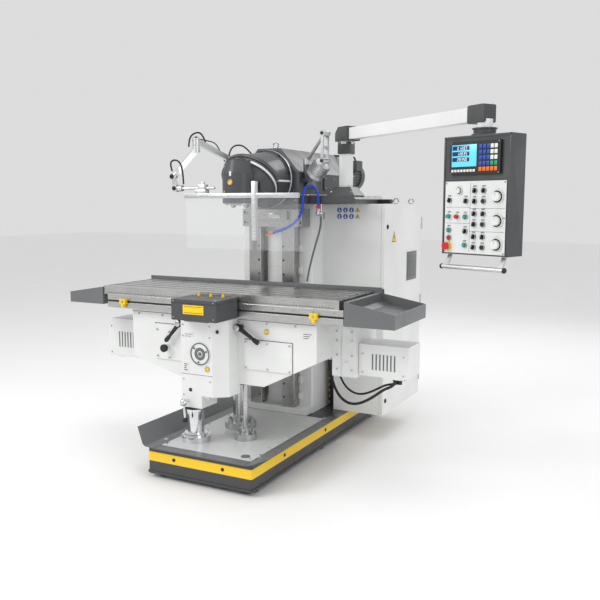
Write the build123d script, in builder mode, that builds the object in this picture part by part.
"""Knee-type universal milling machine with a swivelling ram head, a powered table and a pendant control box.

Units are millimetres. +X runs along the table to the operator's right, +Y goes back to the column, +Z is up.
The origin is on the floor, at the centre of the four anchor bolts.
"""
import os
from math import asin, cos, degrees, radians, sin, tan

from build123d import *

os.makedirs("parts", exist_ok=True)

# --- driving dimensions -------------------------------------------------------------------------------------
CENTRE_X = -80.0  # the machine's centre line: column, knee, ram and spindle

BASE_X, BASE_Y = 383.0, 1000.0  # half width and half length of the base casting
FOOT_TOP = 25.0
BASE_TOP = 200.0
DECK_TOP = 206.0
ANCHOR_X, ANCHOR_Y, ANCHOR_R = 300.0, 900.0, 11.0

COLUMN_X0, COLUMN_X1 = CENTRE_X - 290, CENTRE_X + 290
COLUMN_Y0, COLUMN_Y1 = 140.0, 720.0
COLUMN_TOP = 1720.0
WAY_FRONT = 56.0
WAY_LEFT = (-265.0, -168.0)
WAY_RIGHT = (8.0, 105.0)
WAY_TOP = 1560.0

CABINET_X = (210.0, 690.0)
CABINET_Y = (314.0, 1114.0)
CABINET_Z = (200.0, 1720.0)
DOOR_DEPTH = 28.0

KNEE_TOP = 1012.0
KNEE_X0, KNEE_X1 = -755.0, 643.0
KNEE_Y0, KNEE_Y1 = -670.0, -100.0
TOWER_X0, TOWER_X1, TOWER_Y = -228.0, 8.0, -840.0
TOWER_BOTTOM = 522.0

SUPPORT = (-170.0, -775.0, 54.0)  # x, y and radius of the chromed knee support column
LIFT_BIG = (-80.0, -380.0, 50.0)
LIFT_SMALL = (95.0, -600.0, 18.0)
LIFT_TOP = 800.0
SLIDE_GAP = 0.5  # running gap between flat guideways
BORE_GAP = 3.0

TABLE_X0, TABLE_X1 = -950.0, 816.0
TABLE_Y0, TABLE_Y1 = -729.0, -204.0
TABLE_TOP, TABLE_BOTTOM = 1168.0, 1080.0
SLOT_PITCH, SLOT_WIDTH, SLOT_DEPTH = 90.0, 18.0, 32.0
SLOT_FOOT_WIDTH, SLOT_FOOT_HEIGHT = 30.0, 14.0
SKIRT_BOTTOM = 1022.0

SPINDLE_Y = -364.0
SPINDLE_NOSE = 1710.0
NOSE_R = 64.285  # pilot diameter 128.57 mm
NOSE_LENGTH = 38.0
SHAFT_R = 52.0
FACE_BOLT_R = 50.8  # four M16 holes on a 101.6 mm circle

HEAD_C = (CENTRE_X, -220.0, 1890.0)  # centre of the 45 degree head joint
HEAD_R = 195.0
SWIVEL_Y, SWIVEL_Z, SWIVEL_R = 18.0, 1893.0, 188.0

RAM_Y0, RAM_Y1 = 20.0, 1000.0
RAM_BOTTOM, RAM_TOP = 1793.0, 2108.0
RAM_HALF, RAM_FLAT = 240.0, 92.0
RAM_SHOULDER = 1938.0

GUARD_ROOT = (-290.0, -160.0, 1988.0)
GUARD_ELBOW = (-310.0, -520.0, 2116.0)
GUARD_LOWER = (-405.0, -640.0, 1896.0)
GUARD_WRIST = (-335.0, -662.0, 1820.0)
RAIL_X, RAIL_Y, RAIL_Z = (-275.0, 540.0), -700.0, (1756.0, 1786.0)

LAMP_BASE = (178.0, 112.0, 1993.0)
LAMP_ELBOW = (362.0, 20.0, 2194.0)
LAMP_HINGE = (362.0, 20.0, 2010.0)
LAMP_TURN = 75.7  # direction of the lamp's tilting axes, degrees about +Z
LAMP_TILT = 45.0
VALVE = (290.0, 70.0, 1655.0)  # coolant valve, under the slideway

POST = (440.0, 200.0)
ARM_Z = 2195.0
ARM_TUBE = 76.0
PENDANT_W, PENDANT_H, PENDANT_T = 426.0, 632.0, 130.0
PENDANT_TURN = -22.5  # degrees about +Z
PENDANT_FACE = (1559.0, -629.0, 1764.0)  # middle of the control box's front face
PENDANT = Location(PENDANT_FACE, (0, 0, PENDANT_TURN))
PENDANT_AXIS = (
    PENDANT_FACE[0] - PENDANT_T / 2 * sin(radians(PENDANT_TURN)),
    PENDANT_FACE[1] + PENDANT_T / 2 * cos(radians(PENDANT_TURN)),
)


def block(x, y, z, mode=Mode.ADD):
    """A box that spans three (low, high) ranges."""
    with Locations(((x[0] + x[1]) / 2, (y[0] + y[1]) / 2, (z[0] + z[1]) / 2)):
        Box(x[1] - x[0], y[1] - y[0], z[1] - z[0], mode=mode)


def post(x, y, z, r, mode=Mode.ADD):
    """A vertical cylinder at x, y that spans the range z."""
    with Locations((x, y, (z[0] + z[1]) / 2)):
        Cylinder(r, z[1] - z[0], mode=mode)


def save(piece, name):
    """Labels a finished piece and writes its STEP file."""
    piece.part.label = name
    export_step(piece.part, f"parts/{name}.step")


# --- base -----------------------------------------------------------------------------------------------------
def make_base():
    anchors = [(sx * ANCHOR_X, sy * ANCHOR_Y) for sx in (-1, 1) for sy in (-1, 1)]
    with BuildPart() as base:
        block((-BASE_X, BASE_X), (-BASE_Y, BASE_Y), (FOOT_TOP, BASE_TOP))
        fillet(base.edges().filter_by(Axis.Z), 16)
        block((-BASE_X + 40, BASE_X - 40), (-BASE_Y + 40, BASE_Y - 40), (FOOT_TOP, 150), Mode.SUBTRACT)
        for y in (-500, 0, 500):
            block((-BASE_X + 20, BASE_X - 20), (y - 15, y + 15), (FOOT_TOP + 30, 155))
        for x, y in anchors:
            block((x - 60, x + 60), (y - 70, y + 70), (FOOT_TOP, 70))
            post(x, y, (FOOT_TOP, BASE_TOP), ANCHOR_R, Mode.SUBTRACT)
    save(base, "base")

    with BuildPart() as feet:
        for x in (-ANCHOR_X, ANCHOR_X):
            for y in (-ANCHOR_Y, 0, ANCHOR_Y):
                post(x, y, (0, 12), 62)
                post(x, y, (12, FOOT_TOP), 48)
        for x, y in anchors:
            post(x, y, (0, FOOT_TOP), ANCHOR_R, Mode.SUBTRACT)
    save(feet, "leveling_feet")

    with BuildPart() as deck:
        block((-308, 350), (-955, 40), (BASE_TOP, DECK_TOP))
        for x, y in anchors:
            post(x, y, (BASE_TOP, DECK_TOP), ANCHOR_R, Mode.SUBTRACT)
        for x, y, r in (SUPPORT, LIFT_BIG, LIFT_SMALL):
            post(x, y, (BASE_TOP, DECK_TOP), r, Mode.SUBTRACT)
    save(deck, "deck_plate")

    with BuildPart() as wings:
        sheet_t = 4.0
        for side, x_in, x_out, z_out in ((-1, -312, -505, 292), (1, 354, 470, 232)):
            with BuildSketch(Plane.XZ.offset(1030)):
                with BuildLine():
                    Polyline(
                        (x_in, BASE_TOP + 0.5), (side * BASE_X, BASE_TOP + 6), (x_out, z_out),
                        (x_out, z_out + sheet_t), (side * BASE_X, BASE_TOP + 6 + sheet_t),
                        (x_in, BASE_TOP + 0.5 + sheet_t), close=True,
                    )
                make_face()
            extrude(amount=-(1030 + 120))
        block((-308, 350), (-1030, -957), (BASE_TOP + 0.5, BASE_TOP + 0.5 + sheet_t))
        with BuildSketch(Plane.XY.offset(BASE_TOP - 20)):
            for side, x_edge in ((-1, -505), (1, 470)):
                with BuildLine():
                    Polyline((x_edge, -1031), (side * 400, -1031), (x_edge, -950), close=True)
                make_face()
        extrude(amount=160, mode=Mode.SUBTRACT)
    save(wings, "drip_tray")


# --- column, cabinet and guide columns ------------------------------------------------------------------------
def make_column():
    with BuildPart() as column:
        block((COLUMN_X0, COLUMN_X1), (COLUMN_Y0, COLUMN_Y1), (BASE_TOP, COLUMN_TOP))
        fillet(column.edges().filter_by(Axis.Z), 12)
        block((COLUMN_X0 + 45, COLUMN_X1 - 45), (COLUMN_Y0 + 45, COLUMN_Y1 - 45), (BASE_TOP, COLUMN_TOP - 50), Mode.SUBTRACT)
        block((-306, COLUMN_X1), (COLUMN_Y0 - 95, COLUMN_Y0 + 50), (DECK_TOP, DECK_TOP + 44))
    save(column, "column")

    with BuildPart() as ways:
        for x0, x1 in (WAY_LEFT, WAY_RIGHT):
            block((x0, x1), (WAY_FRONT, COLUMN_Y0), (DECK_TOP + 44, WAY_TOP))
        chamfer(ways.edges().filter_by(Axis.Z).group_by(Axis.Y)[0], 3)
    save(ways, "column_ways")

    with BuildPart() as head_block:
        block((CENTRE_X - 215, CENTRE_X + 270), (20, COLUMN_Y0), (WAY_TOP, 1686))
        block((CENTRE_X - 150, CENTRE_X + 160), (-6, 20), (1610, 1668))
        chamfer(head_block.edges().filter_by(Axis.X).group_by(Axis.Z)[-1], 3)
        with Locations(Location((0, 20, 0), (90, 0, 0))):
            with Locations((CENTRE_X - 195, 1590), (CENTRE_X - 195, 1660), (CENTRE_X + 250, 1590), (CENTRE_X + 250, 1660)):
                CounterBoreHole(radius=6, counter_bore_radius=10, counter_bore_depth=12, depth=40)
    save(head_block, "column_head_block")

    with BuildPart() as support:
        x, y, r = SUPPORT
        post(x, y, (BASE_TOP, LIFT_TOP), r)
        post(x, y, (DECK_TOP, 246), 92)
        post(x, y, (246, 262), 74)
        with Locations((x, y, 246)):
            with PolarLocations(83, 6):
                Cylinder(6, 10, align=(Align.CENTER, Align.CENTER, Align.MIN))
    save(support, "support_column")

    with BuildPart() as lifts:
        for (x, y, r), flange, collar in ((LIFT_BIG, 108, 72), (LIFT_SMALL, 72, 40)):
            post(x, y, (BASE_TOP, LIFT_TOP), r)
            post(x, y, (DECK_TOP, 246), flange)
            post(x, y, (246, 284), collar)
            with Locations((x, y, 246)):
                with PolarLocations((flange + collar) / 2, 6):
                    Cylinder(7, 9, align=(Align.CENTER, Align.CENTER, Align.MIN))
    save(lifts, "lift_columns")

    recess_x, recess_y, recess_z = (CABINET_X[0], 300), (CABINET_Y[0], 520), (CABINET_Z[0], 640)
    with BuildPart() as cabinet:
        block(CABINET_X, CABINET_Y, CABINET_Z)
        block((CABINET_X[1] - DOOR_DEPTH, CABINET_X[1]), CABINET_Y, CABINET_Z, Mode.SUBTRACT)
        block((CABINET_X[0] + 3, CABINET_X[1] - DOOR_DEPTH), (CABINET_Y[0] + 3, CABINET_Y[1] - 3), (CABINET_Z[0] + 3, CABINET_Z[1] - 3), Mode.SUBTRACT)
        block((recess_x[0], recess_x[1] + 3), (recess_y[0], recess_y[1] + 3), (recess_z[0], recess_z[1] + 3))
        block((recess_x[0] - 1, 300), (recess_y[0] - 1, 520), (recess_z[0] - 1, 640), Mode.SUBTRACT)
        block((CABINET_X[0], CABINET_X[1] - 60), (COLUMN_Y1 - 200, CABINET_Y[1] - 60), (CABINET_Z[0] + 30, CABINET_Z[0] + 33))
    save(cabinet, "electrical_cabinet")

    with BuildPart() as door:
        gap = 1.5
        x0, x1 = CABINET_X[1] - DOOR_DEPTH + gap, CABINET_X[1]
        y, z = (CABINET_Y[0], CABINET_Y[1] - 2), (CABINET_Z[0], CABINET_Z[1])
        block((x0, x1), y, z)
        fillet(door.edges().filter_by(Axis.Z).group_by(Axis.X)[-1], 4)
        block((x0, x1 - 3), (y[0] + 3, y[1] - 3), (z[0] + 3, z[1] - 3), Mode.SUBTRACT)
        for z_lock in (1560, 900, 300):
            with Locations(Location((x1, CABINET_Y[0] + 50, z_lock), (0, 90, 0))):
                Cylinder(9, 20, mode=Mode.SUBTRACT)
    save(door, "cabinet_door")

    with BuildPart() as locks:
        for z in (1560, 900, 300):
            with Locations(Location((CABINET_X[1] - 3, CABINET_Y[0] + 50, z), (0, 90, 0))):
                Cylinder(9, 20)
                with Locations((0, 0, 3)):
                    Cylinder(13, 3, align=(Align.CENTER, Align.CENTER, Align.MIN))
    save(locks, "door_locks")


# --- knee -------------------------------------------------------------------------------------------------------
def make_knee():
    front = [
        (KNEE_X0, KNEE_TOP), (KNEE_X0, 700), (-660, 665), (-360, 585), (278, 585),
        (KNEE_X1, 769), (KNEE_X1, KNEE_TOP),
    ]
    wall = 26.0
    inner = [
        (KNEE_X0 + wall, KNEE_TOP - wall), (KNEE_X0 + wall, 700 + wall), (-655, 665 + wall), (-355, 585 + wall),
        (272, 585 + wall), (KNEE_X1 - wall, 769 + wall), (KNEE_X1 - wall, KNEE_TOP - wall),
    ]
    rear_x = (CENTRE_X - 250, CENTRE_X + 250)
    with BuildPart() as knee:
        with BuildSketch(Plane.XZ.offset(-KNEE_Y0)):
            with BuildLine():
                Polyline(*front, close=True)
            make_face()
        extrude(amount=-(KNEE_Y1 - KNEE_Y0))
        with BuildSketch(Plane.XY.offset(TOWER_BOTTOM)):
            with BuildLine():
                Polyline((TOWER_X0, TOWER_Y), (TOWER_X1, TOWER_Y), (90, TOWER_Y + 64), (90, KNEE_Y0 + 20), (TOWER_X0, KNEE_Y0 + 20), close=True)
            make_face()
        extrude(amount=KNEE_TOP - TOWER_BOTTOM)
        block((TOWER_X0, TOWER_X0 + 152), (TOWER_Y, KNEE_Y0), (440, TOWER_BOTTOM))
        block((TOWER_X0 + 152, TOWER_X0 + 190), (TOWER_Y + 26, KNEE_Y0), (500, TOWER_BOTTOM))
        # rear body, with arms that wrap round the outside of the column's guideways
        block(rear_x, (KNEE_Y1 - 5, WAY_FRONT - SLIDE_GAP), (600, KNEE_TOP))
        for x0, x1 in ((rear_x[0], WAY_LEFT[0] - SLIDE_GAP), (WAY_RIGHT[1] + SLIDE_GAP, rear_x[1])):
            block((x0, x1), (WAY_FRONT - 5, COLUMN_Y0 - 6), (600, KNEE_TOP - 20))
        # hollow inside
        with BuildSketch(Plane.XZ.offset(-KNEE_Y0 - wall)):
            with BuildLine():
                Polyline(*inner, close=True)
            make_face()
        extrude(amount=-(KNEE_Y1 - KNEE_Y0 - 2 * wall), mode=Mode.SUBTRACT)
        block((rear_x[0] + 40, rear_x[1] - 40), (KNEE_Y1 - 30, WAY_FRONT - 40), (640, KNEE_TOP - 40), Mode.SUBTRACT)
        # bores for the fixed columns
        for (x, y, r), low in ((SUPPORT, 440), (LIFT_BIG, 585), (LIFT_SMALL, 585)):
            post(x, y, (low - 1, KNEE_TOP - 14), r + BORE_GAP, Mode.SUBTRACT)
        # cable glands
        for x, y, z, r in ((500, -180, 690, 13), (540, -150, 706, 11)):
            post(x, y, (z, z + 18), r)
    save(knee, "knee")

    with BuildPart() as plates:
        block((142, 480), (KNEE_Y0 - 9, KNEE_Y0), (688, 878))
        block((-560, -240), (KNEE_Y0 - 9, KNEE_Y0), (690, 930))
        chamfer(plates.edges().filter_by(Axis.Y).group_by(Axis.Z)[-1], 10)
        with Locations(Plane.XZ.offset(-(KNEE_Y0 - 9))):
            with Locations(*[(x, z) for x in (155, 311, 467) for z in (702, 864)], (467, 783)):
                Cylinder(7, 12)
            with Locations((-538, 890), (-440, 880), (-538, 712), (-440, 706)):
                Cylinder(7, 12)
            with Locations((-455, 775)):
                Cylinder(24, 30, align=(Align.CENTER, Align.CENTER, Align.MIN))
        with Locations(Location((-80, TOWER_Y, 793), (90, 0, 0))):
            Cylinder(71.5, 6, align=(Align.CENTER, Align.CENTER, Align.MIN))
            with PolarLocations(55, 3, 20):
                Cylinder(4, 9, align=(Align.CENTER, Align.CENTER, Align.MIN))
            Cylinder(6, 10, align=(Align.CENTER, Align.CENTER, Align.MIN))
    save(plates, "knee_cover_plates")

    with BuildPart() as bracket:
        x = (KNEE_X1, 800)
        block(x, (-440, -110), (650, 1000))
        block((KNEE_X1, 700), (-448, -440), (655, 985))
        block((712, 786), (-446, -440), (655, 985))
        block((KNEE_X1, 760), (-470, -440), (956, 985))
        with Locations(Location((741, -446, 740), (90, 0, 0))):
            Cylinder(12, 14)
            Cylinder(6, 20)
        for z in (700, 790, 880, 940):
            with Locations(Location((678, -448, z), (90, 0, 0))):
                Cylinder(6, 10)
            with Locations(Location((778, -446, z), (90, 0, 0))):
                Cylinder(6, 10)
    save(bracket, "drive_bracket")

    with BuildPart() as right_cover:
        block((800.5, 1126), (-400, -180), (663, 862))
        fillet(right_cover.edges().filter_by(Axis.Z), 6)
        block((799, 1123), (-397, -183), (666, 859), Mode.SUBTRACT)
        block((1000, 1085), (-396, -320), (655, 663))
    save(right_cover, "right_motor_cover")

    with BuildPart() as left_cover:
        with BuildSketch(Plane.XZ.offset(400)):
            with BuildLine():
                Polyline((-1219, 605), (-1219, 835), (-1185, 883), (KNEE_X0 - 0.5, 883), (KNEE_X0 - 0.5, 605), close=True)
            make_face()
        extrude(amount=-220)
        with BuildSketch(Plane.XZ.offset(397)):
            with BuildLine():
                Polyline((-1216, 608), (-1216, 834), (-1184, 880), (KNEE_X0 - 3.5, 880), (KNEE_X0 - 3.5, 608), close=True)
            make_face()
        extrude(amount=-214, mode=Mode.SUBTRACT)
        block((-1140, -1090), (-396, -330), (597, 605))
    save(left_cover, "left_motor_cover")

    with BuildPart() as motor:
        with Locations(Location((801, -290, 760), (0, 90, 0))):
            Cylinder(70, 240, align=(Align.CENTER, Align.CENTER, Align.MIN))
        block((880, 990), (-330, -250), (700, 850))
    save(motor, "servo_motor")

    with BuildPart() as handle:
        x, y, z = SUPPORT[0] - 10, TOWER_Y, 482
        with Locations(Location((x, y, z), (90, 0, 0))):
            Cylinder(11, 48, align=(Align.CENTER, Align.CENTER, Align.MIN))
        with Locations((x, y - 48, z)):
            Sphere(24)
        with Locations(Location((x, y - 48, z), (0, 176, 0))):
            Cylinder(7, 112, align=(Align.CENTER, Align.CENTER, Align.MIN))
        with Locations((x + 8, y - 48, z - 114)):
            Sphere(15)
    save(handle, "support_clamp_lever")

    for name, hub, turn in (("left_lock_lever", (-330, KNEE_Y0 - 9, 950), 42), ("right_lock_lever", (118, KNEE_Y0, 955), -58)):
        with BuildPart() as lever:
            with Locations(Location(hub, (90, 0, 0))):
                Cylinder(16, 30, align=(Align.CENTER, Align.CENTER, Align.MIN))
            with Locations(Location((hub[0], hub[1] - 38, hub[2]), (0, 180 + turn, 0))):
                Cylinder(20, 34)
                with Locations((0, 0, 8)):
                    Cone(15, 9, 160, align=(Align.CENTER, Align.CENTER, Align.MIN))
        save(lever, name)


# --- saddle and table ------------------------------------------------------------------------------------------
def make_table():
    with BuildPart() as saddle:
        block((CENTRE_X - 330, CENTRE_X + 330), (-660, -230), (KNEE_TOP + 1, TABLE_BOTTOM - 1))
        block((-110, 60), (-960, -640), (KNEE_TOP + 1, KNEE_TOP + 8))
        block((CENTRE_X - 240, CENTRE_X + 240), (-230, -130), (KNEE_TOP + 1, TABLE_BOTTOM - 20))
        for y0 in (-600, -330):
            block((CENTRE_X - 331, CENTRE_X + 331), (y0, y0 + 60), (TABLE_BOTTOM - 18, TABLE_BOTTOM - 1), Mode.SUBTRACT)
    save(saddle, "saddle")

    with BuildPart() as switch_box:
        block((-195, 135), (-978, -742), (1023, 1150))
        fillet(switch_box.edges().filter_by(Axis.Z), 5)
        block((-192, 132), (-975, -745), (1021, 1147), Mode.SUBTRACT)
        block((-192, 132), (-975, -745), (KNEE_TOP + 9, 1026))
    save(switch_box, "switch_box")

    table_mid = (TABLE_Y0 + TABLE_Y1) / 2
    length = TABLE_X1 - TABLE_X0
    with BuildPart() as table:
        block((TABLE_X0, TABLE_X1), (TABLE_Y0, TABLE_Y1), (1112, TABLE_TOP))
        block((TABLE_X0 + 30, TABLE_X1 - 30), (-690, -235), (TABLE_BOTTOM, 1113))
        for y0 in (-599, -329):
            block((TABLE_X0 + 30, TABLE_X1 - 30), (y0, y0 + 58), (TABLE_BOTTOM - 17, TABLE_BOTTOM + 1))
        for i in range(-2, 3):
            y = table_mid + i * SLOT_PITCH
            block((TABLE_X0 - 1, TABLE_X1 + 1), (y - SLOT_WIDTH / 2, y + SLOT_WIDTH / 2), (TABLE_TOP - SLOT_DEPTH, TABLE_TOP + 1), Mode.SUBTRACT)
            foot = (TABLE_TOP - SLOT_DEPTH, TABLE_TOP - SLOT_DEPTH + SLOT_FOOT_HEIGHT)
            block((TABLE_X0 - 1, TABLE_X1 + 1), (y - SLOT_FOOT_WIDTH / 2, y + SLOT_FOOT_WIDTH / 2), foot, Mode.SUBTRACT)
        for side, x in ((-1, TABLE_X0 + 26), (1, TABLE_X1 - 26)):
            block((x - 7, x + 7), (TABLE_Y0 + 20, TABLE_Y1 - 20), (TABLE_TOP - 6, TABLE_TOP + 1), Mode.SUBTRACT)
    save(table, "table")

    with BuildPart() as rail:
        block((TABLE_X0 + 32, 845), (-732, -712), (SKIRT_BOTTOM, 1112))
        block((TABLE_X0 + 31, 846), (-733, -722), (1062, 1074), Mode.SUBTRACT)
        block((TABLE_X0 + 32, TABLE_X1 - 30), (-712, -690), (1096, 1112))
    save(rail, "dog_rail")

    with BuildPart() as dogs:
        for x in (-770, 660):
            block((x - 24, x + 24), (-757, -732), (1052, 1086))
            block((x - 9, x + 9), (-757, -732), (1030, 1052))
            block((x - 18, x + 18), (-732, -723), (1063, 1073))
    save(dogs, "trip_dogs")

    with BuildPart() as trays:
        # right pan with a sloping rim
        with BuildSketch(Plane.XZ.offset(738)):
            with BuildLine():
                Polyline((850, 1022), (1160, 1022), (1160, 1107), (850, 1163), close=True)
            make_face()
        extrude(amount=-548)
        with BuildSketch(Plane.XZ.offset(734)):
            with BuildLine():
                Polyline((920, 1090), (1156, 1050), (1156, 1180), (870, 1180), (870, 1110), close=True)
            make_face()
        extrude(amount=-540, mode=Mode.SUBTRACT)
        # left pan
        with BuildSketch(Plane.XZ.offset(738)):
            with BuildLine():
                Polyline((TABLE_X0 - 4, 1040), (-1252, 1040), (-1252, 1112), (TABLE_X0 - 4, 1160), close=True)
            make_face()
        extrude(amount=-548)
        with BuildSketch(Plane.XZ.offset(734)):
            with BuildLine():
                Polyline((-1010, 1096), (-1248, 1062), (-1248, 1180), (-980, 1180), (-980, 1110), close=True)
            make_face()
        extrude(amount=-540, mode=Mode.SUBTRACT)
        # rear gutter that joins them
        block((-975, 870), (-189.5, -185.5), (1112, 1193))
        block((-975, 870), (-189.5, -150), (1112, 1116))
        block((-975, 870), (-154, -150), (1112, 1180))
    save(trays, "splash_trays")


# --- ram and heads ---------------------------------------------------------------------------------------------
def make_ram():
    with BuildPart() as slideway:
        block((COLUMN_X0, COLUMN_X1), (60, 760), (COLUMN_TOP, 1778))
        for x in (CENTRE_X - 150, CENTRE_X + 150):
            block((x - 45, x + 45), (60, 760), (1778, RAM_BOTTOM - SLIDE_GAP))
        block((COLUMN_X1, 560), (90, 620), (COLUMN_TOP + 1, 1778))
        chamfer(slideway.edges().filter_by(Axis.Y).group_by(Axis.X)[-1].sort_by(Axis.Z)[-1], 25)
        with BuildSketch(Plane.XY.offset(1778)):
            with Locations(POST):
                Rectangle(210, 200)
        with BuildSketch(Plane.XY.offset(1838)):
            with Locations(POST):
                Rectangle(120, 120)
        loft()
    save(slideway, "ram_slideway")

    half, flat, foot = RAM_HALF, RAM_FLAT, RAM_BOTTOM
    with BuildPart() as ram:
        with BuildSketch(Plane.XZ.offset(-RAM_Y0)):
            with BuildLine():
                Polyline(
                    (CENTRE_X - half, foot), (CENTRE_X - half, RAM_SHOULDER), (CENTRE_X - flat, RAM_TOP),
                    (CENTRE_X + flat, RAM_TOP), (CENTRE_X + half, RAM_SHOULDER), (CENTRE_X + half, foot), close=True,
                )
            make_face()
        extrude(amount=-(RAM_Y1 - RAM_Y0))
        # the front nose narrows towards the swivel joint
        chamfer(ram.faces().sort_by(Axis.Y)[0].edges(), 14)
        inner = 200
        block((CENTRE_X - inner, CENTRE_X + inner), (RAM_Y0 + 60, RAM_Y1 - 60), (RAM_BOTTOM + 40, RAM_SHOULDER - 20), Mode.SUBTRACT)
        # raised pads and recesses on the right side
        block((CENTRE_X + half, CENTRE_X + half + 14), (120, 260), (1830, 1925))
        block((CENTRE_X + half, CENTRE_X + half + 8), (420, 900), (1820, 1920))
        # bracket of the splash screen's arm
        x, y, z = GUARD_ROOT
        block((x - 14, x + 14), (y, RAM_Y0 + 40), (z - 14, z + 14))
        block((x - 14, CENTRE_X - RAM_HALF + 90), (RAM_Y0 + 16, RAM_Y0 + 60), (1900, z + 14))
        post(x, y, (z - 20, z + 20), 26)
        # bracket of the lamp
        x, y, z = LAMP_BASE
        block((CENTRE_X + RAM_HALF - 60, x + 30), (y - 30, y + 30), (1870, 1900))
        post(x, y, (1900, z), 24)
    save(ram, "ram")

    with BuildPart() as motor:
        with Locations(Location((CENTRE_X + 70, RAM_Y1, 1950), (-90, 0, 0))):
            Cylinder(140, 16, align=(Align.CENTER, Align.CENTER, Align.MIN))
            with Locations((0, 0, 16)):
                Cylinder(118, 250, align=(Align.CENTER, Align.CENTER, Align.MIN))
                with PolarLocations(120, 36):
                    Box(16, 5, 210, align=(Align.CENTER, Align.CENTER, Align.MIN))
            with Locations((0, 0, 236)):
                Cylinder(132, 70, align=(Align.CENTER, Align.CENTER, Align.MIN))
        block((CENTRE_X + 160, CENTRE_X + 235), (RAM_Y1 + 50, RAM_Y1 + 170), (1990, 2070))
    save(motor, "spindle_motor")

    cx, cy, cz = HEAD_C
    joint_plane = Plane(origin=HEAD_C, x_dir=(1, 0, 0), z_dir=(0, -sin(radians(45)), -cos(radians(45))))
    swivel_plane = Plane(origin=(cx, SWIVEL_Y, SWIVEL_Z), x_dir=(1, 0, 0), z_dir=(0, -1, 0))
    flange = 38
    with BuildPart() as swivel:
        with BuildSketch(swivel_plane):
            Circle(SWIVEL_R + 14)
        extrude(amount=flange)
        # the body leans from the flange to the 45 degree joint
        with BuildSketch(swivel_plane.offset(flange)):
            Circle(SWIVEL_R)
        with BuildSketch(joint_plane.offset(-26)):
            Circle(HEAD_R - 4)
        loft()
        with BuildSketch(joint_plane.offset(-26)):
            Circle(HEAD_R + 6)
        extrude(amount=26)
    save(swivel, "swivel_body")

    gap = 0.6
    with BuildPart() as head:
        with BuildSketch(joint_plane.offset(gap)):
            Circle(HEAD_R)
        extrude(amount=44)
        with BuildSketch(joint_plane.offset(gap + 44)):
            Circle(HEAD_R - 12)
        with BuildSketch(joint_plane.offset(170)):
            Circle(108)
        loft()
        with BuildSketch(Plane.XY.offset(SPINDLE_NOSE + 14)):
            with Locations((cx, SPINDLE_Y)):
                Circle(112)
        extrude(amount=198)
        with BuildSketch(Plane.XY.offset(1922)):
            with Locations((cx, SPINDLE_Y)):
                Circle(112)
        with BuildSketch(Plane.XY.offset(2004)):
            with Locations((cx, SPINDLE_Y)):
                Circle(86)
        loft()
        with BuildSketch(joint_plane.offset(gap)):
            Rectangle(900, 1400)
        extrude(amount=-700, mode=Mode.SUBTRACT)
        block((-400, 300), (-900, 100), (1500, SPINDLE_NOSE + 14), Mode.SUBTRACT)
        # spindle bore and its seat
        post(cx, SPINDLE_Y, (1600, 1985), SHAFT_R + 0.05, Mode.SUBTRACT)
        post(cx, SPINDLE_Y, (1600, SPINDLE_NOSE + NOSE_LENGTH + 0.6), NOSE_R + 1.5, Mode.SUBTRACT)
        # horizontal power take-off cover, set square to the joint's right side
        with Locations(Location((cx + 118, SPINDLE_Y + 8, 1838), (0, 90, 0))):
            Box(76, 76, 40)
    save(head, "spindle_head")

    with BuildPart() as spindle:
        post(cx, SPINDLE_Y, (SPINDLE_NOSE, SPINDLE_NOSE + NOSE_LENGTH), NOSE_R)
        post(cx, SPINDLE_Y, (SPINDLE_NOSE + NOSE_LENGTH, 1980), SHAFT_R)
        with Locations((cx, SPINDLE_Y, SPINDLE_NOSE)):
            Cone(34.925, 20.0, 102, align=(Align.CENTER, Align.CENTER, Align.MIN), mode=Mode.SUBTRACT)
        post(cx, SPINDLE_Y, (SPINDLE_NOSE, 1981), 13, Mode.SUBTRACT)
        with Locations((cx, SPINDLE_Y, SPINDLE_NOSE)):
            with PolarLocations(FACE_BOLT_R, 4, 45):
                Cylinder(7, 22, align=(Align.CENTER, Align.CENTER, Align.MIN), mode=Mode.SUBTRACT)
        for side in (-1, 1):
            x0, x1 = sorted((cx + side * 38, cx + side * 62))
            block((x0, x1), (SPINDLE_Y - 12.7, SPINDLE_Y + 12.7), (SPINDLE_NOSE - 12, SPINDLE_NOSE))
    save(spindle, "spindle")



# --- pendant ---------------------------------------------------------------------------------------------------
def on_pendant(x, y, z, mode=Mode.ADD):
    """A box in the control box's own axes: x right, y into the box, z up, from the middle of its front face."""
    with Locations(PENDANT):
        block(x, y, z, mode)


def knob(x, z, r, depth, start=0.0, mode=Mode.ADD):
    """A round piece that stands out of the control box's front face."""
    with Locations(PENDANT):
        with Locations(Location((x, start, z), (90, 0, 0))):
            Cylinder(r, depth, align=(Align.CENTER, Align.CENTER, Align.MIN), mode=mode)


PANEL_W, PANEL_H, PANEL_TOP = 392.0, 385.0, 77.0
PANEL_FACE = -4.0
DRO_W, DRO_H, DRO_TOP = 323.0, 170.0, 283.0
DIAL_X, DIAL_Z = 147.0, {"x": -6.0, "y": -131.0, "z": -254.0}
SPEED_KNOB = (-102.0, 27.0)
ESTOP = (-172.0, -272.0)
START, STOP = (-165.0, -110.0), (-110.0, -112.0)
SHAFT_CLEAR = 0.6


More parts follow.
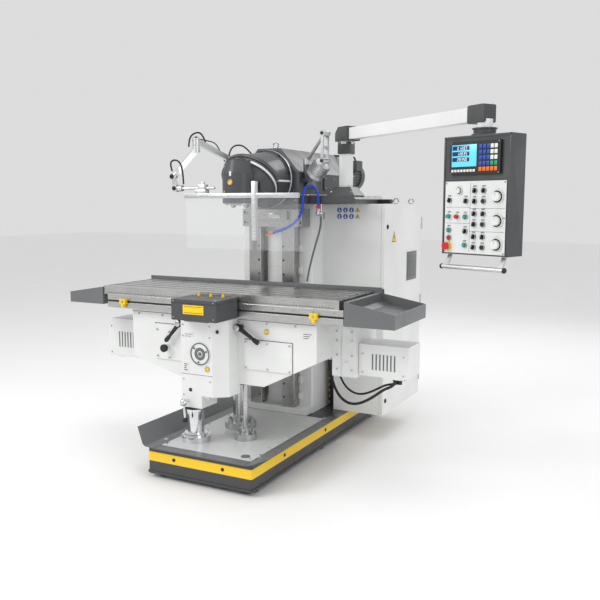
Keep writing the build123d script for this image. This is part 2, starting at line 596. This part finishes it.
def make_pendant():
    px, py = POST
    ax, ay = PENDANT_AXIS
    half = ARM_TUBE / 2
    with BuildPart() as mast:
        block((px - half, px + half), (py - half, py + half), (1838, 2130))
        fillet(mast.edges().filter_by(Axis.Z), 6)
        post(px, py, (2130, 2146), 50)
        post(px, py, (2146, 2160), 30)
    save(mast, "pendant_post")

    reach = ((ax - px) ** 2 + (ay - py) ** 2) ** 0.5
    turn = degrees(asin((ay - py) / reach))
    with BuildPart() as arm:
        with Locations(Location((px, py, 0), (0, 0, turn))):
            with Locations((reach / 2, 0, ARM_Z)):
                Box(reach - 150, ARM_TUBE, ARM_TUBE)
            with Locations((20, 0, ARM_Z + 2)):
                Box(130, 92, 92)
            with Locations((reach - 30, 0, ARM_Z)):
                Box(120, 90, 90)
        post(px, py, (2146.5, 2165), 50)
        post(px, py, (2140, 2162), 30 + 0.5, Mode.SUBTRACT)
        post(ax, ay, (2120, 2165), 42)
    save(arm, "pendant_arm")

    w, h = PENDANT_W / 2, PENDANT_H / 2
    with BuildPart() as housing:
        on_pendant((-w, w), (0, PENDANT_T), (-h, h))
        with Locations(PENDANT):
            block((-w + 5, w - 5), (5, PENDANT_T - 5), (-h + 5, h - 5), Mode.SUBTRACT)
            block((-w + 16, w - 16), (-3, 0), (-h + 6, 82))
        post(ax, ay, (PENDANT_FACE[2] + h, 2112), 58)
        post(ax, ay, (2112, 2119.5), 66)
        knob(*SPEED_KNOB, 8, 20, 12, Mode.SUBTRACT)
        for x, z, r in ((*ESTOP, 11), (*START, 9), (*STOP, 9)):
            knob(x, z, r + SHAFT_CLEAR, 24, 16, Mode.SUBTRACT)
        for z in DIAL_Z.values():
            knob(DIAL_X, z, 8, 20, 12, Mode.SUBTRACT)
    save(housing, "pendant_housing")

    with BuildPart() as panel:
        on_pendant((-PANEL_W / 2, PANEL_W / 2), (-5, -3), (PANEL_TOP - PANEL_H, PANEL_TOP))
        knob(*SPEED_KNOB, 8, 20, 12, Mode.SUBTRACT)
        for x, z, r in ((*ESTOP, 11), (*START, 9), (*STOP, 9)):
            knob(x, z, r + SHAFT_CLEAR, 24, 16, Mode.SUBTRACT)
            knob(x, z, r + 6, 6, -5)
            knob(x, z, r + SHAFT_CLEAR, 34, 16, Mode.SUBTRACT)
        for z in DIAL_Z.values():
            knob(DIAL_X, z, 8, 20, 12, Mode.SUBTRACT)
    save(panel, "control_panel")

    with BuildPart() as display:
        x, z = (-DRO_W / 2, DRO_W / 2), (DRO_TOP - DRO_H, DRO_TOP)
        on_pendant(x, (-18, 0), z)
        on_pendant((x[0] + 12, x[0] + 175), (-19, -16), (z[0] + 40, z[1] - 14), Mode.SUBTRACT)
        for i in range(8):
            on_pendant((x[0] + 14 + i * 20, x[0] + 30 + i * 20), (-20, -18), (z[0] + 12, z[0] + 26))
        for i in range(5):
            for j in range(5):
                left, low = x[0] + 192 + i * 24, z[0] + 14 + j * 29
                on_pendant((left, left + 20), (-20, -18), (low, low + 22))
    save(display, "dro_unit")

    with BuildPart() as grip:
        for x in (-176, 176):
            with Locations(PENDANT):
                with Locations(Location((x, 9, -h - 37), (-32, 0, 0))):
                    Box(26, 10, 72)
                block((x - 13, x + 13), (20, 96), (-h - 4, -h))
        with Locations(PENDANT):
            with Locations(Location((0, -12, -386), (0, 90, 0))):
                Cylinder(13, 404)
    save(grip, "pendant_handle")

    for name, (x, z), head_r, head_t, shaft_r in (
        ("estop_button", ESTOP, 20, 14, 11), ("start_button", START, 11, 5, 9), ("stop_button", STOP, 11, 5, 9),
    ):
        with BuildPart() as button:
            knob(x, z, shaft_r, 28, 8)
            knob(x, z, head_r, head_t, -20)
        save(button, name)

    for axis, z in DIAL_Z.items():
        with BuildPart() as dial:
            knob(DIAL_X, z, 7, 20, 12)
            knob(DIAL_X, z, 34, 7, -6)
            knob(DIAL_X, z, 22, 20, -13)
        save(dial, f"feed_dial_{axis}")

    with BuildPart() as speed:
        x, z = SPEED_KNOB
        knob(x, z, 7, 20, 12)
        knob(x, z, 20, 6, -6)
        knob(x, z, 14, 16, -12)
    save(speed, "speed_knob")

    selectors = [(-165, -23), (-55, -27), (-55, -189)]
    pushes = [(-57, -112), (-165, -185), (-57, -264), (-163, -227)]
    for k in range(3):
        z = 27 - 121.7 * k
        selectors += [(1, z), (58, z), (1, z - 56)]
        pushes += [(58, z - 56)]
    with BuildPart() as switches:
        for x, z in selectors:
            knob(x, z, 14, 5, -5)
            with Locations(PENDANT):
                block((x - 4, x + 4), (-24, -10), (z - 12, z + 12))
        for x, z in pushes:
            knob(x, z, 14, 5, -5)
            knob(x, z, 10, 8, -10)
    save(switches, "panel_switches")


# --- splash screen, lamp, coolant and cables -----------------------------------------------------------------
def bar(a, b, width, height=None, mode=Mode.ADD):
    """A rectangular link from point a to point b."""
    a, b = Vector(*a), Vector(*b)
    plane = Plane(origin=a, z_dir=(b - a).normalized(), x_dir=(b - a).cross(Vector(0, 0, 1)).normalized())
    with Locations(plane.location):
        Box(width, height or width, (b - a).length, align=(Align.CENTER, Align.CENTER, Align.MIN), mode=mode)


def rod(a, b, r, mode=Mode.ADD):
    """A round link from point a to point b."""
    a, b = Vector(*a), Vector(*b)
    with Locations(Plane(origin=a, z_dir=(b - a).normalized()).location):
        Cylinder(r, (b - a).length, align=(Align.CENTER, Align.CENTER, Align.MIN), mode=mode)


def make_arms():
    x, y, z = GUARD_ROOT
    ex, ey, ez = GUARD_ELBOW
    with BuildPart() as upper:
        post(x, y, (z + 20.6, z + 60), 26)
        bar((x, y, z + 42), (ex, ey, ez + 12), 26, 36)
        post(ex, ey, (ez - 18, ez + 30), 24)
    save(upper, "guard_upper_arm")

    lx, ly, lz = GUARD_LOWER
    wx, wy, wz = GUARD_WRIST
    with BuildPart() as lower:
        post(ex, ey, (ez - 62, ez - 18.6), 24)
        bar((ex, ey, ez - 42), GUARD_LOWER, 26, 36)
        with Locations((lx, ly, lz)):
            Sphere(24)
        bar((lx, ly, lz), (wx - 38, wy, wz), 26, 28)
        block((wx - 58, wx - 20.6), (wy - 22, wy + 22), (wz - 22, wz + 22))
    save(lower, "guard_lower_arm")

    with BuildPart() as screen:
        rod((wx - 20, wy, wz), (-75, wy, wz), 9)
        rod((wx - 20, wy, wz), (wx + 14, wy, wz), 20)
        block((-190, -138), (wy - 22, wy + 22), (wz - 22, wz + 22))
        block((-205, -123), (RAIL_Y, wy + 10), (RAIL_Z[1] - 8, wz - 10))
        block(RAIL_X, (RAIL_Y - 11, RAIL_Y + 11), RAIL_Z)
        block((222, 252), (RAIL_Y - 14, RAIL_Y + 14), (1500, RAIL_Z[1] + 70))
        for x0, x1 in ((RAIL_X[0] + 4, 221), (253, RAIL_X[1] - 4)):
            block((x0, x1), (RAIL_Y - 3, RAIL_Y + 3), (1442, RAIL_Z[0]))
        block((220, 254), (RAIL_Y - 3, RAIL_Y + 3), (1500, 1540))
    save(screen, "guard_screen")

    bx, by, bz = LAMP_BASE
    elbow = Location(LAMP_ELBOW, (0, 0, LAMP_TURN))
    hinge = Location(LAMP_HINGE, (0, 0, LAMP_TURN))
    drop = LAMP_ELBOW[2] - LAMP_HINGE[2]
    with BuildPart() as first:
        post(bx, by, (bz + 0.6, bz + 40), 24)
        rod((bx, by, bz + 22), LAMP_ELBOW, 12)
        with Locations(elbow):
            with Locations(Location((0, 0, 0), (0, 90, 0))):
                Cylinder(22, 40)
    save(first, "lamp_lower_link")

    with BuildPart() as second:
        for side in (-27, 27):
            for joint, r in ((elbow, 22), (hinge, 18)):
                with Locations(joint):
                    with Locations(Location((side, 0, 0), (0, 90, 0))):
                        Cylinder(r, 12)
            with Locations(hinge):
                block((side - 6, side + 6), (-10, 10), (0, drop))
        with Locations(hinge):
            block((-33, 33), (-9, 9), (80, 100))
    save(second, "lamp_upper_link")

    with BuildPart() as lamp:
        with Locations(hinge):
            with Locations(Location((0, 0, 0), (0, 90, 0))):
                Cylinder(16, 40)
            with Locations(Location((0, 0, 0), (180 + LAMP_TILT, 0, 0))):
                Cylinder(15, 40, align=(Align.CENTER, Align.CENTER, Align.MIN))
                with Locations((0, 0, 30)):
                    Cylinder(52, 95, align=(Align.CENTER, Align.CENTER, Align.MIN))
                    with PolarLocations(53, 28):
                        Box(20, 3, 78, align=(Align.CENTER, Align.CENTER, Align.MIN))
                with Locations((0, 0, 108)):
                    Cylinder(63, 26, align=(Align.CENTER, Align.CENTER, Align.MIN))
    save(lamp, "lamp_head")


def tube(points, r):
    """A round tube along a route of straight runs joined by tangent arcs."""
    pts = [Vector(*p) for p in points]
    with BuildLine() as route:
        here = pts[0]
        for a, b, c in zip(pts, pts[1:], pts[2:]):
            back, ahead = (a - b).normalized(), (c - b).normalized()
            reach = 0.45 * min((a - b).length, (c - b).length)
            half_turn = radians(180 - back.get_angle(ahead)) / 2
            enter, leave = b + back * reach, b + ahead * reach
            Line(here, enter)
            if half_turn < 0.004:
                Line(enter, leave)
            else:
                bend = reach / tan(half_turn)
                middle = b + (back + ahead).normalized() * (bend / cos(half_turn) - bend)
                ThreePointArc(enter, middle, leave)
            here = leave
        Line(here, pts[-1])
    with BuildSketch(Plane(origin=pts[0], z_dir=pts[1] - pts[0])) as section:
        Circle(r)
    sweep(sections=section.sketch, path=route.wires()[0])


COOLANT_HOSE = [
    (290, 70, 1690), (290, 70, 1742), (288, 68, 1790), (270, 58, 1832), (236, 42, 1852), (208, 24, 1832),
    (198, 10, 1784), (205, 0, 1724), (206, -20, 1664), (190, -54, 1606), (150, -98, 1566), (106, -142, 1540),
    (62, -184, 1522),
]
VALVE_HOSE = [
    (290, 110, 1634), (290, 110, 1582), (280, 106, 1524), (264, 100, 1468), (248, 96, 1410), (232, 92, 1350),
    (218, 88, 1290), (206, 84, 1232), (198, 80, 1176),
]
SERVO_CABLE_A = [
    (500, -180, 690), (500, -180, 640), (518, -200, 596), (546, -224, 548), (584, -252, 500), (632, -276, 462),
    (688, -298, 444), (746, -314, 448), (802, -328, 470), (856, -340, 502), (908, -350, 540), (956, -356, 578),
    (1004, -358, 600), (1030, -358, 626), (1030, -358, 655),
]
SERVO_CABLE_B = [
    (540, -150, 706), (540, -150, 656), (560, -170, 614), (592, -194, 572), (632, -222, 536), (682, -248, 512),
    (738, -270, 504), (794, -286, 514), (848, -298, 538), (898, -308, 566), (946, -316, 596), (1018, -334, 616),
    (1055, -345, 628), (1055, -345, 655),
]
GUARD_CABLE = [
    (-326, -160, 2014), (-344, -166, 2052), (-352, -184, 2092), (-350, -220, 2122), (-344, -262, 2136),
    (-338, -304, 2140), (-336, -348, 2142), (-336, -394, 2144), (-336, -440, 2146), (-337, -482, 2144),
    (-339, -520, 2132),
]


def make_services():
    with BuildPart() as valve:
        x, y, z = VALVE
        rod((x, y + 40, COLUMN_TOP + 1), (x, y + 40, z - 21), 11)
        rod((x, y + 40, z), (x, y, z), 10)
        rod((x, y, z - 15), (x, y, z + 35), 14)
        with Locations(VALVE):
            Sphere(20)
        rod((x, y, z), (x + 36, y, z), 9)
        block((x + 36, x + 42), (y - 14, y + 14), (z - 40, z + 8))
    save(valve, "coolant_valve")

    with BuildPart() as hose:
        tube(COOLANT_HOSE, 10)
        x, y, z = COOLANT_HOSE[-1]
        rod((x, y, z), (x - 26, y - 25, z - 12), 8)
    save(hose, "coolant_hose")

    for name, points, r in (
        ("valve_hose", VALVE_HOSE, 7), ("servo_cable_a", SERVO_CABLE_A, 9), ("servo_cable_b", SERVO_CABLE_B, 7),
        ("guard_cable", GUARD_CABLE, 4),
    ):
        with BuildPart() as cord:
            tube(points, r)
        save(cord, name)

    with BuildPart() as chain:
        for i in range(16):
            z = 204 + i * 26
            block((236, 284), (380, 420), (z, z + 23))
            block((242, 278), (386, 414), (z + 20, z + 29))
    save(chain, "cable_chain")


make_base()
make_column()
make_knee()
make_table()
make_ram()
make_pendant()
make_arms()
make_services()
